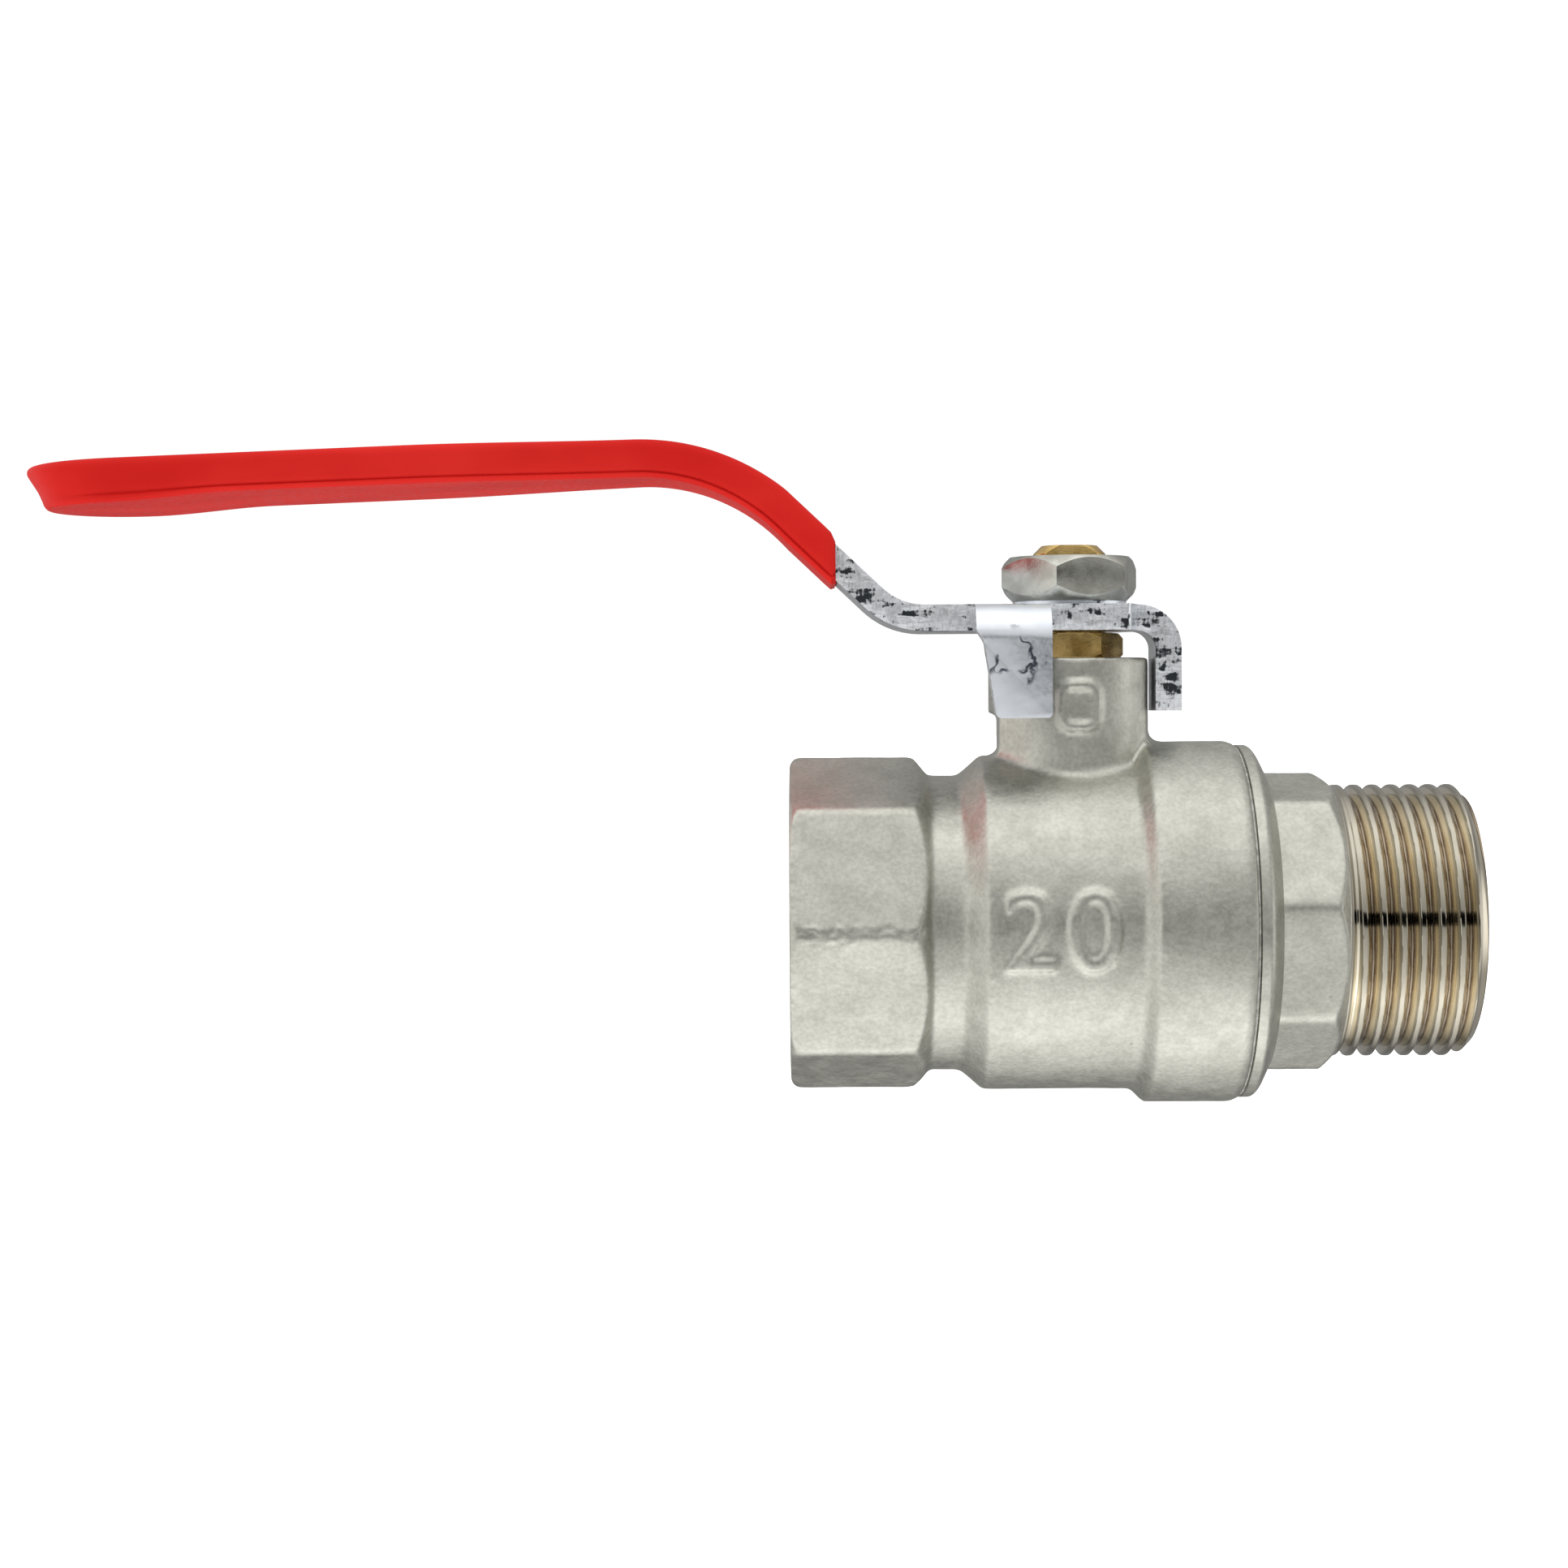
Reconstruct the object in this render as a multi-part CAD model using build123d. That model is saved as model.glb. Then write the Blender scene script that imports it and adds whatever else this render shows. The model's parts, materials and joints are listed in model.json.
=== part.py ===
from build123d import *
import os
from math import cos, radians, sqrt

# Two-piece brass ball valve, DN20: female inlet, male outlet, quarter-turn lever shown open.
# Frame: the origin is the centre of the inlet mouth, +X runs along the pipe axis to the outlet and
# +Z runs up the stem. The open lever points along -X. Lengths are in millimetres.

# Pipe threads, G 3/4, modelled as plain cylinders at their outer diameter
THREAD_R = 13.22
FEMALE_THREAD_R = 13.25
FEMALE_THREAD_DEPTH = 12.5

# Body forging along the pipe axis
INLET_FLATS = 30.0
INLET_FLAT_END = 11.9
WAIST_R = 14.3
WAIST_START, WAIST_END = 13.4, 16.3
MIDDLE_R = 16.2
MIDDLE_START, MIDDLE_END = 18.5, 32.8
RING_R = 17.5
RING_START, RING_END = 34.1, 42.3
BODY_END, BODY_END_R = 43.05, 17.1
EDGE_BREAK = 0.6
SHOULDER_FILLET = 1.0
CORNER_SOFTENING = 0.12

# Ball, seats and the chamber around them
STEM_X = 27.3
BALL_R = 14.0
BORE_R = 9.5
SEAT_R = 12.4
SEAT_CONTACT_R = 10.7
SEAT_NEAR, SEAT_FAR = 8.0, 11.3
SEAT_CLEARANCE = 0.08
CHAMBER_R = 14.4
CHAMBER_START = 18.6
SPIGOT_SHOULDER = 35.0
SPIGOT_R = 15.32
SLOT_WIDTH = 5.0
SLOT_FLOOR_Z = 10.4

# Tail piece
FLANGE_START, FLANGE_SHOULDER, FLANGE_END = 43.2, 44.5, 45.75
FLANGE_R, FLANGE_FACE_R = 17.1, 14.5
TAIL_FLATS = 27.0
TAIL_TURN = -9.3
TAIL_FLAT_END = 51.0
TAIL_THREAD_START, TAIL_END = 52.2, 65.2
END_CHAMFER = 1.1
FLANGE_FILLET = 1.3
SPIGOT_GAP = 0.3
JOINT_RING_SETBACK = 0.12
TAIL_CORE_R = 12.6

# Stem neck of the body; its plan is drawn about the stem axis and heights are above the pipe axis
NECK_FRONT_R = 7.45
NECK_TOP = 25.6
NECK_FRONT_CORNER = (7.1, -3.33)
OPEN_STOP_CORNER = (7.87, 2.4)
NECK_LEFT_CORNER = (-6.8, 5.5)
NECK_BACK_Y, NECK_BACK_HALF_WIDTH = 7.2, 5.2
NECK_ROOT_R = 1.2
SADDLE_END = 38.0
CLOSED_STOP_CORNER = (-7.6, 6.0)
CLOSED_STOP_BOTTOM = 20.3
CLOSED_STOP_FRONT_X = -7.05
SADDLE_REACH = (12.0, 9.0)
SADDLE_HEIGHTS = (11.0, 18.5)

# Stem and what seals it
STEM_R = 3.5
SHANK_HOLE_R = 3.56
COLLAR_R = 5.05
COUNTERBORE_R = 5.2
COLLAR_BOTTOM, COLLAR_TOP = 14.2, 15.6
WEB_BOTTOM, WEB_TOP = 16.4, 19.4
GROOVE_R = 2.45
GROOVE_BOTTOM, GROOVE_TOP = 17.25, 18.55
O_RING_WIRE_R = 0.52
PACKING_R = 4.6
PACKING_HEIGHT = 0.95
PACKING_TOP = 22.3
FOLLOWER_TOP = 22.8
GLAND_THREAD_R = 4.95
GLAND_HOLE_R = 5.0
GLAND_HEX_BOTTOM, GLAND_HEX_TOP = 25.65, 28.0
GLAND_FLATS = 9.0
GLAND_CHAMFERS = (0.3, 0.5)
STEM_FLATS = 5.0
STEM_SHOULDER, STEM_TOP = 28.15, 36.5
STEM_CHAMFER = 0.8
TANG_WIDTH, TANG_BOTTOM = 4.8, 10.6

# Lever, its nut and its grip
STEEL = 2.5
LEVER_BOTTOM = 28.2
HUB_HALF_WIDTH = 7.0
STRIP_HALF_WIDTH = 6.35
PADDLE_HALF_WIDTH = 10.4
HUB_START, STRIP_START = -14.0, -20.0
STRIP_END, PADDLE_START = -42.0, -61.0
HUB_END_BACK, HUB_END_FRONT = 4.2, 5.2
HUB_END_R, OPEN_LUG_ROOT_R = 0.8, 0.4
LEVER_REACH = 100.9
LOWER_BEND, LOWER_BEND_R = (-17.1, 29.45), 7.0
UPPER_BEND, UPPER_BEND_R = (-33.6, 45.07), 20.0
PADDLE_DROP = 0.035
PADDLE_FLARE_R, HUB_FLARE_R = 25.0, 6.0
LUG_PLANE = 7.95
OPEN_LUG_Y = (-3.5, 2.5)
OPEN_LUG_BOTTOM, CLOSED_LUG_BOTTOM = 20.5, 19.9
OPEN_LUG_BEND_R, CLOSED_LUG_BEND_R = 4.2, 3.45
CLOSED_LUG_LEFT, CLOSED_LUG_RIGHT = -9.6, -2.5
CLOSED_LUG_TAPER_TOP, CLOSED_LUG_TAPER_BOTTOM = (-8.85, 27.0), -7.75
CLOSED_LUG_FILLETS = [0, 0.6, 1.2, 0.5, 0.5, 0]
GRIP_START = -22.75
GRIP_THICKNESS = 0.58
WASHER_R, WASHER_THICKNESS = 5.5, 0.37
NUT_FLATS = 12.0
NUT_TOP = 35.4
NUT_TURN = -15.0
NUT_CHAMFERS = (1.45, 1.15)

# Running clearance, and a length greater than the valve for shapes that only trim another
FIT = 0.05
WIDE = 150.0
LEVER_TOP = LEVER_BOTTOM + STEEL
NUT_BOTTOM = LEVER_TOP + WASHER_THICKNESS
OPEN_LUG_PLATE_END = LUG_PLANE + STEEL - OPEN_LUG_BEND_R


def closed_face(points, radii=0):
    """Flat face inside a closed outline, with a fillet radius at each corner."""
    if radii == 0:
        return make_face(Polyline(*points, close=True))
    return make_face(FilletPolyline(*points, radius=radii, close=True))


def turned_on_pipe(points, radii=0):
    """Solid turned about the pipe axis from its (x, radius) outline."""
    return revolve(Plane.XZ * closed_face(points, radii), axis=Axis.X)


def turned_on_stem(points, radii=0):
    """Solid turned about the stem axis from its (radius, z) outline."""
    upright = revolve(Plane.XZ * closed_face(points, radii), axis=Axis.Z)
    return Pos(STEM_X, 0, 0) * upright


def ring_on_stem(inner, outer, bottom, top):
    """Flat ring around the stem."""
    return turned_on_stem([(inner, bottom), (outer, bottom), (outer, top), (inner, top)])


def on_stem(face, bottom, top):
    """Prism of a plan outline drawn about the stem axis."""
    return Pos(STEM_X, 0, bottom) * extrude(face, amount=top - bottom)


def octagon_corner(flats):
    """Radius of an octagon's softened corners."""
    return flats / 2 / cos(radians(22.5)) - CORNER_SOFTENING


def polygon_prism_on_pipe(sides, flats, turn, start, end):
    """Prism along the pipe axis, with its first corner turned from +Z."""
    corner_radius = flats / 2 / cos(radians(180 / sides))
    outline = Rot(0, 0, turn) * RegularPolygon(corner_radius, sides)
    return Pos(start, 0, 0) * extrude(Plane.YZ * outline, amount=end - start)


def hex_nut(flats, turn, bottom, top, chamfers):
    """Hexagon about the stem axis, its corners turned down at 45 degrees below and above."""
    corner_radius = flats / 2 / cos(radians(30))
    blank = on_stem(Rot(0, 0, turn - 90) * RegularPolygon(corner_radius, 6), bottom, top)
    lower, upper = chamfers
    turned = turned_on_stem([
        (0, bottom), (corner_radius - lower, bottom), (corner_radius, bottom + lower),
        (corner_radius, top - upper), (corner_radius - upper, top), (0, top),
    ])
    return blank & turned


# Forgings

def neck_outline():
    """Plan of the stem neck: round in front, with the corner that stops the open lever."""
    front_x, front_y = NECK_FRONT_CORNER
    tangent = NECK_FRONT_R / sqrt(2)
    sides = Polyline(
        (tangent, -tangent), (front_x, front_y), OPEN_STOP_CORNER,
        (NECK_BACK_HALF_WIDTH, NECK_BACK_Y), (-NECK_BACK_HALF_WIDTH, NECK_BACK_Y),
        NECK_LEFT_CORNER, (-front_x, front_y), (-tangent, -tangent),
    )
    front = ThreePointArc((-tangent, -tangent), (0, -NECK_FRONT_R), (tangent, -tangent))
    return make_face(sides + front)


def closed_stop():
    """Boss high on the neck that stops the closed lever."""
    x, y = CLOSED_STOP_CORNER
    inner = NECK_BACK_HALF_WIDTH
    boss = closed_face([(x, y), (-inner, NECK_BACK_Y), (-inner, 0), (CLOSED_STOP_FRONT_X, 0)])
    return on_stem(boss, CLOSED_STOP_BOTTOM, NECK_TOP)


def body_outside():
    """Inlet octagon, waist, housing and neck, before anything is bored."""
    inlet_corner = octagon_corner(INLET_FLATS)
    inlet = polygon_prism_on_pipe(8, INLET_FLATS, 0, 0, WAIST_START)
    inlet &= turned_on_pipe([
        (0, 0), (0, inlet_corner - EDGE_BREAK), (EDGE_BREAK, inlet_corner),
        (INLET_FLAT_END, inlet_corner), (WAIST_START, WAIST_R), (WAIST_START, 0),
    ], [0, EDGE_BREAK, EDGE_BREAK, SHOULDER_FILLET, 0, 0])
    core_start = FEMALE_THREAD_DEPTH - 1
    housing = turned_on_pipe([
        (core_start, 0), (core_start, WAIST_R), (WAIST_END, WAIST_R),
        (MIDDLE_START, MIDDLE_R), (MIDDLE_END, MIDDLE_R), (RING_START, RING_R),
        (RING_END, RING_R), (BODY_END, BODY_END_R), (BODY_END, 0),
    ], [0, 0] + [SHOULDER_FILLET] * 5 + [0, 0])
    on_middle = neck_saddle(MIDDLE_R, MIDDLE_START, RING_START)
    on_ring = neck_saddle(RING_R, RING_START, SADDLE_END)
    return inlet + housing + on_middle + on_ring + closed_stop()


def neck_saddle(housing_r, start, end):
    """Slice of the neck and of a housing cylinder, with a rounded root between them."""
    cylinder = Pos(STEM_X, 0, 0) * Rot(0, 90, 0) * Cylinder(housing_r, WIDE)
    joined = cylinder + on_stem(neck_outline(), 0, NECK_TOP)
    rooted = fillet(joined.edges().filter_by(is_saddle_edge), NECK_ROOT_R)
    slab = Pos((start + end) / 2, 0, 0) * Box(end - start, WIDE, WIDE)
    return rooted & slab


def is_saddle_edge(edge):
    """True for an edge where the neck grows out of the housing."""
    middle = edge @ 0.5
    heights = [(edge @ end).Z for end in (0, 1)]
    reach_x, reach_y = SADDLE_REACH
    lowest, highest = SADDLE_HEIGHTS
    near_stem = abs(middle.X - STEM_X) < reach_x and abs(middle.Y) < reach_y
    return near_stem and min(heights) > lowest and max(heights) < highest


def valve_body():
    """Body casting with its inlet thread, ball chamber, tail piece thread and stem bores."""
    seat_face = STEM_X - SEAT_FAR - FIT
    waterway = turned_on_pipe([
        (-1, 0), (-1, FEMALE_THREAD_R), (FEMALE_THREAD_DEPTH, FEMALE_THREAD_R),
        (FEMALE_THREAD_DEPTH, BORE_R), (seat_face, BORE_R), (seat_face, SEAT_R + FIT),
        (CHAMBER_START, SEAT_R + FIT), (CHAMBER_START, CHAMBER_R), (SPIGOT_SHOULDER, CHAMBER_R),
        (SPIGOT_SHOULDER, SPIGOT_R + FIT), (BODY_END + 1, SPIGOT_R + FIT), (BODY_END + 1, 0),
    ])
    stem_bore = turned_on_stem([
        (0, 10), (COUNTERBORE_R, 10), (COUNTERBORE_R, WEB_BOTTOM), (SHANK_HOLE_R, WEB_BOTTOM),
        (SHANK_HOLE_R, WEB_TOP), (PACKING_R, WEB_TOP), (PACKING_R, PACKING_TOP),
        (GLAND_HOLE_R, PACKING_TOP), (GLAND_HOLE_R, NECK_TOP + 1), (0, NECK_TOP + 1),
    ])
    return body_outside() - waterway - stem_bore


def tail_piece():
    """Male end that screws into the body and holds the outlet seat."""
    corner = octagon_corner(TAIL_FLATS)
    octagon_start = FLANGE_END - 1
    octagon = polygon_prism_on_pipe(8, TAIL_FLATS, TAIL_TURN, octagon_start, TAIL_THREAD_START)
    octagon &= turned_on_pipe([
        (octagon_start, 0), (octagon_start, corner), (TAIL_FLAT_END, corner),
        (TAIL_THREAD_START, THREAD_R), (TAIL_THREAD_START, 0),
    ])
    spigot_start = SPIGOT_SHOULDER + SPIGOT_GAP
    spigot_and_flange = [
        (spigot_start, 0), (spigot_start, SPIGOT_R), (FLANGE_START, SPIGOT_R),
        (FLANGE_START, FLANGE_R), (FLANGE_SHOULDER, FLANGE_R), (FLANGE_END, FLANGE_FACE_R),
        (FLANGE_END, 0),
    ]
    threaded_end = [
        (octagon_start, 0), (octagon_start, TAIL_CORE_R), (TAIL_THREAD_START, TAIL_CORE_R),
        (TAIL_THREAD_START, THREAD_R), (TAIL_END - END_CHAMFER, THREAD_R),
        (TAIL_END, THREAD_R - END_CHAMFER), (TAIL_END, 0),
    ]
    turned = turned_on_pipe(spigot_and_flange, [0, 0, 0, 0, FLANGE_FILLET, 0, 0])
    turned += turned_on_pipe(threaded_end)
    seat_face = STEM_X + SEAT_FAR + FIT
    past_end = TAIL_END + FIT
    waterway = turned_on_pipe([
        (SPIGOT_SHOULDER, 0), (SPIGOT_SHOULDER, SEAT_R + FIT), (seat_face, SEAT_R + FIT),
        (seat_face, BORE_R), (past_end - END_CHAMFER, BORE_R),
        (past_end, BORE_R + END_CHAMFER), (past_end, 0),
    ])
    return octagon + turned - waterway


def body_joint_ring():
    """Flat joint ring between the body and the flange of the tail piece."""
    inner, outer = SPIGOT_R + FIT, FLANGE_R - JOINT_RING_SETBACK
    return turned_on_pipe([
        (BODY_END, inner), (BODY_END, outer), (FLANGE_START, outer), (FLANGE_START, inner),
    ])


# Ball and seats

def ball():
    """Bored ball with a slot for the stem, cut square to the bore."""
    bore = Rot(0, 90, 0) * Cylinder(BORE_R, 3 * BALL_R)
    slot_height = BALL_R - SLOT_FLOOR_Z + 1
    slot = Pos(0, 0, SLOT_FLOOR_Z + slot_height / 2) * Box(SLOT_WIDTH, 3 * BALL_R, slot_height)
    return Pos(STEM_X, 0, 0) * (Sphere(BALL_R) - bore - slot)


def seat_ring(side):
    """Seat on one side of the ball: -1 for the inlet, 1 for the outlet."""
    contact_x = sqrt(BALL_R ** 2 - SEAT_CONTACT_R ** 2)
    reach = BALL_R * (BALL_R + SEAT_CLEARANCE)
    bore_x = (reach - SEAT_CONTACT_R * BORE_R) / contact_x
    lip_r = (reach - contact_x * SEAT_NEAR) / SEAT_CONTACT_R
    outline = [
        (SEAT_FAR, BORE_R), (SEAT_FAR, SEAT_R), (SEAT_NEAR, SEAT_R),
        (SEAT_NEAR, lip_r), (bore_x, BORE_R),
    ]
    return turned_on_pipe([(STEM_X + side * x, r) for x, r in outline])


# Stem and its seals

def double_d(radius, flats):
    """Circle with two flats that face the front and the back."""
    return Circle(radius) & Rectangle(3 * radius, flats)


def stem():
    """Stem with a tang for the ball, a collar, an O-ring groove and two flats for the lever."""
    turned = turned_on_stem([
        (0, COLLAR_BOTTOM), (COLLAR_R, COLLAR_BOTTOM), (COLLAR_R, COLLAR_TOP),
        (STEM_R, COLLAR_TOP), (STEM_R, GROOVE_BOTTOM), (GROOVE_R, GROOVE_BOTTOM),
        (GROOVE_R, GROOVE_TOP), (STEM_R, GROOVE_TOP), (STEM_R, STEM_SHOULDER),
        (0, STEM_SHOULDER),
    ])
    tang = double_d(COLLAR_R, 2 * COLLAR_R) & Rectangle(TANG_WIDTH, 2 * COLLAR_R)
    driven = on_stem(tang, TANG_BOTTOM, COLLAR_BOTTOM)
    top = on_stem(double_d(STEM_R, STEM_FLATS), STEM_SHOULDER, STEM_TOP)
    top &= turned_on_stem([
        (0, STEM_SHOULDER), (STEM_R, STEM_SHOULDER), (STEM_R, STEM_TOP - STEM_CHAMFER),
        (STEM_R - STEM_CHAMFER, STEM_TOP), (0, STEM_TOP),
    ])
    return turned + driven + top


def stem_o_ring():
    """O-ring in the groove of the stem."""
    middle_r = STEM_R - O_RING_WIRE_R
    middle_z = (GROOVE_BOTTOM + GROOVE_TOP) / 2
    return Pos(STEM_X, 0, middle_z) * Torus(middle_r, O_RING_WIRE_R)


def packing_ring(index):
    """One of the three packing rings, counted from the bottom."""
    bottom = WEB_TOP + index * PACKING_HEIGHT
    return ring_on_stem(SHANK_HOLE_R, PACKING_R - FIT, bottom, bottom + PACKING_HEIGHT - FIT)


def gland_nut():
    """Screwed gland with a hexagon head that presses on the packing."""
    thread = ring_on_stem(0, GLAND_THREAD_R, FOLLOWER_TOP, GLAND_HEX_BOTTOM)
    head = hex_nut(GLAND_FLATS, 30, GLAND_HEX_BOTTOM, GLAND_HEX_TOP, GLAND_CHAMFERS)
    hole = ring_on_stem(0, SHANK_HOLE_R, FOLLOWER_TOP - 1, GLAND_HEX_TOP + 1)
    return thread + head - hole


# Lever

def side_strip(half, start, end):
    """Side view of the lever strip of a half thickness, from the hub to its tip."""
    bend_x, bend_z = UPPER_BEND
    tip = (end, bend_z - PADDLE_DROP * (bend_x - end))
    corners = [(start, LOWER_BEND[1]), LOWER_BEND, UPPER_BEND, tip]
    middle = FilletPolyline(*corners, radius=[LOWER_BEND_R, UPPER_BEND_R])
    upper = offset_line(middle, half)
    lower = offset_line(middle, -half)
    caps = Line(upper @ 0, lower @ 0) + Line(upper @ 1, lower @ 1)
    return make_face(upper + lower + caps)


def offset_line(line, distance):
    """Line beside another at a fixed distance, above it for a positive one."""
    edges = []
    for edge in line.edges():
        ends = [shifted(edge, place, distance) for place in (0, 0.5, 1)]
        if edge.geom_type == GeomType.LINE:
            edges.append(Edge.make_line(ends[0], ends[2]))
        else:
            edges.append(Edge.make_three_point_arc(*ends))
    return Wire(edges)


def shifted(edge, place, distance):
    """Point beside an edge, square to it, with positive distances towards larger Y."""
    tangent = edge % place
    normal = Vector(-tangent.Y, tangent.X)
    if normal.Y < 0:
        normal = normal * -1
    return (edge @ place) + normal * distance


def lever_plan(margin):
    """Plan of the lever seen along the stem, widened by a margin."""
    strip = STRIP_HALF_WIDTH + margin
    paddle = PADDLE_HALF_WIDTH + margin
    hub = HUB_HALF_WIDTH + margin
    tip = -LEVER_REACH - margin
    front, back = OPEN_LUG_Y
    upper = [
        (tip, paddle), (PADDLE_START, paddle), (STRIP_END, strip), (STRIP_START, strip),
        (HUB_START, hub), (HUB_END_BACK, hub), (OPEN_LUG_PLATE_END, back),
    ]
    lower = [
        (OPEN_LUG_PLATE_END, front), (HUB_END_FRONT, -hub), (HUB_START, -hub),
        (STRIP_START, -strip), (STRIP_END, -strip), (PADDLE_START, -paddle), (tip, -paddle),
    ]
    radii = [
        paddle - FIT, PADDLE_FLARE_R, PADDLE_FLARE_R, HUB_FLARE_R, HUB_FLARE_R,
        HUB_END_R, OPEN_LUG_ROOT_R,
    ]
    return closed_face(upper + lower, radii + radii[::-1])


def lever_strip(margin, start, end):
    """Bent strip: its side view run across the lever, trimmed to its plan."""
    half = STEEL / 2 + margin
    side = extrude(Plane.XZ * side_strip(half, start, end), amount=WIDE, both=True)
    plan = extrude(lever_plan(margin), amount=WIDE)
    return Pos(STEM_X, 0, 0) * (side & plan)


def stop_lug(outer_r, bottom):
    """Side view of a lug turned down from the lever, as a face of (distance out, height)."""
    outer = LUG_PLANE + STEEL
    bend = outer - outer_r
    inner_r = outer_r - STEEL
    centre_z = LEVER_TOP - outer_r
    spread = sqrt(0.5)
    edges = [
        Line((bend, LEVER_TOP), (bend, LEVER_BOTTOM)),
        ThreePointArc((bend, LEVER_BOTTOM),
                      (bend + inner_r * spread, centre_z + inner_r * spread),
                      (LUG_PLANE, centre_z)),
        Line((LUG_PLANE, centre_z), (LUG_PLANE, bottom)),
        Line((LUG_PLANE, bottom), (outer, bottom)),
        Line((outer, bottom), (outer, centre_z)),
        ThreePointArc((outer, centre_z),
                      (bend + outer_r * spread, centre_z + outer_r * spread),
                      (bend, LEVER_TOP)),
    ]
    return make_face(edges)


def open_lug():
    """Lug at the end of the lever, which stops it when the valve is open."""
    front, back = OPEN_LUG_Y
    side = Plane.XZ * stop_lug(OPEN_LUG_BEND_R, OPEN_LUG_BOTTOM)
    return Pos(STEM_X, back, 0) * extrude(side, amount=back - front)


def closed_lug():
    """Lug at the front edge of the lever, which stops it when the valve is closed."""
    towards_front = Plane(origin=(0, 0, 0), x_dir=(0, -1, 0), z_dir=(-1, 0, 0))
    side = towards_front * stop_lug(CLOSED_LUG_BEND_R, CLOSED_LUG_BOTTOM)
    lug = extrude(side, amount=WIDE, both=True)
    front = [
        (CLOSED_LUG_LEFT, LEVER_TOP), (CLOSED_LUG_LEFT, LEVER_BOTTOM), CLOSED_LUG_TAPER_TOP,
        (CLOSED_LUG_TAPER_BOTTOM, CLOSED_LUG_BOTTOM), (CLOSED_LUG_RIGHT, CLOSED_LUG_BOTTOM),
        (CLOSED_LUG_RIGHT, LEVER_TOP),
    ]
    width = extrude(Plane.XZ * closed_face(front, CLOSED_LUG_FILLETS), amount=WIDE)
    return Pos(STEM_X, 0, 0) * (lug & width)


def lever():
    """Steel lever with its two stop lugs and its hole for the stem."""
    strip = lever_strip(0, OPEN_LUG_PLATE_END, -LEVER_REACH)
    double_d_hole = double_d(STEM_R + FIT, STEM_FLATS + 2 * FIT)
    hole = on_stem(double_d_hole, LEVER_BOTTOM - 1, LEVER_TOP + 1)
    return strip + open_lug() + closed_lug() - hole


def grip_sleeve():
    """Vinyl skin dipped over the lever from just above its lower bend to its tip."""
    thick = lever_strip(GRIP_THICKNESS, OPEN_LUG_PLATE_END, -LEVER_REACH - GRIP_THICKNESS)
    dipped = Pos(STEM_X + GRIP_START - WIDE / 2, 0, 0) * Box(WIDE, WIDE, WIDE)
    steel = lever_strip(0, OPEN_LUG_PLATE_END, -LEVER_REACH)
    return (thick & dipped) - steel


def lever_nut():
    """Hexagon nut that holds the lever down."""
    hole = ring_on_stem(0, STEM_R + FIT, NUT_BOTTOM - 1, NUT_TOP + 1)
    return hex_nut(NUT_FLATS, NUT_TURN, NUT_BOTTOM, NUT_TOP, NUT_CHAMFERS) - hole


NODES = {
    "valve_body": valve_body(),
    "tail_piece": tail_piece(),
    "body_joint_ring": body_joint_ring(),
    "ball": ball(),
    "seat_ring_inlet": seat_ring(-1),
    "seat_ring_outlet": seat_ring(1),
    "stem": stem(),
    "stem_thrust_washer": ring_on_stem(SHANK_HOLE_R, COLLAR_R, COLLAR_TOP + FIT, WEB_BOTTOM),
    "stem_o_ring": stem_o_ring(),
    "packing_ring_lower": packing_ring(0),
    "packing_ring_middle": packing_ring(1),
    "packing_ring_upper": packing_ring(2),
    "gland_follower": ring_on_stem(SHANK_HOLE_R, GLAND_THREAD_R, PACKING_TOP, FOLLOWER_TOP),
    "gland_nut": gland_nut(),
    "lever": lever(),
    "grip_sleeve": grip_sleeve(),
    "lever_washer": ring_on_stem(STEM_R + FIT, WASHER_R, LEVER_TOP, NUT_BOTTOM),
    "lever_nut": lever_nut(),
}

os.makedirs("parts", exist_ok=True)
for name, shape in NODES.items():
    export_step(shape, f"parts/{name}.step")
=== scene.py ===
import json
from math import cos, hypot, pi, radians, sin, sqrt, tan

import bmesh
import bpy
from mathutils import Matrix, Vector, noise


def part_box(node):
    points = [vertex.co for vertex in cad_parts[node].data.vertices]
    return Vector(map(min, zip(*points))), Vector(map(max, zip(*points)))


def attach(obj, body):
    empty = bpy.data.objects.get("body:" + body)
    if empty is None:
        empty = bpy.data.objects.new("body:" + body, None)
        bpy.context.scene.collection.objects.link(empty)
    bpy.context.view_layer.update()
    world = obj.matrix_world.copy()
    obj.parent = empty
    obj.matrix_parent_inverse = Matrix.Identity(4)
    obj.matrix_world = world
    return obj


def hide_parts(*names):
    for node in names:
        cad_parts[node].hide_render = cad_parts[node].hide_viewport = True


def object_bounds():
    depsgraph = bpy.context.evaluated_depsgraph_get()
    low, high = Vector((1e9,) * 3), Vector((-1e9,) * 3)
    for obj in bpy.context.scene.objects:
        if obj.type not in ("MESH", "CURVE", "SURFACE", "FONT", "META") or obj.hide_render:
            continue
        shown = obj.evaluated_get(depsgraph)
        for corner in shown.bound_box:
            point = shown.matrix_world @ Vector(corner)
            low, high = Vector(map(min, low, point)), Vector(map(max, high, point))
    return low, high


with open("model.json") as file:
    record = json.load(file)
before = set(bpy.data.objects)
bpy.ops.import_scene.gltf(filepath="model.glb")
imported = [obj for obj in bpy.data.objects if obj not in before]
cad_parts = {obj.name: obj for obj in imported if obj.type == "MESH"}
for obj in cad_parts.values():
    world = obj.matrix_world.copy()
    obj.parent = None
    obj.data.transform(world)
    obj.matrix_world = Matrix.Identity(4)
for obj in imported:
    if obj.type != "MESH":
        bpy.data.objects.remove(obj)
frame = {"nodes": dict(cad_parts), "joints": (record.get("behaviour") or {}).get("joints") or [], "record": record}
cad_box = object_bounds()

# Lengths are in millimetres and MM turns them into Blender's metres. The pipe axis is X, with the
# inlet mouth at 0, and the stem stands on it at STEM_X. "Front" is the side that faces -Y.
MM = 0.001
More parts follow.
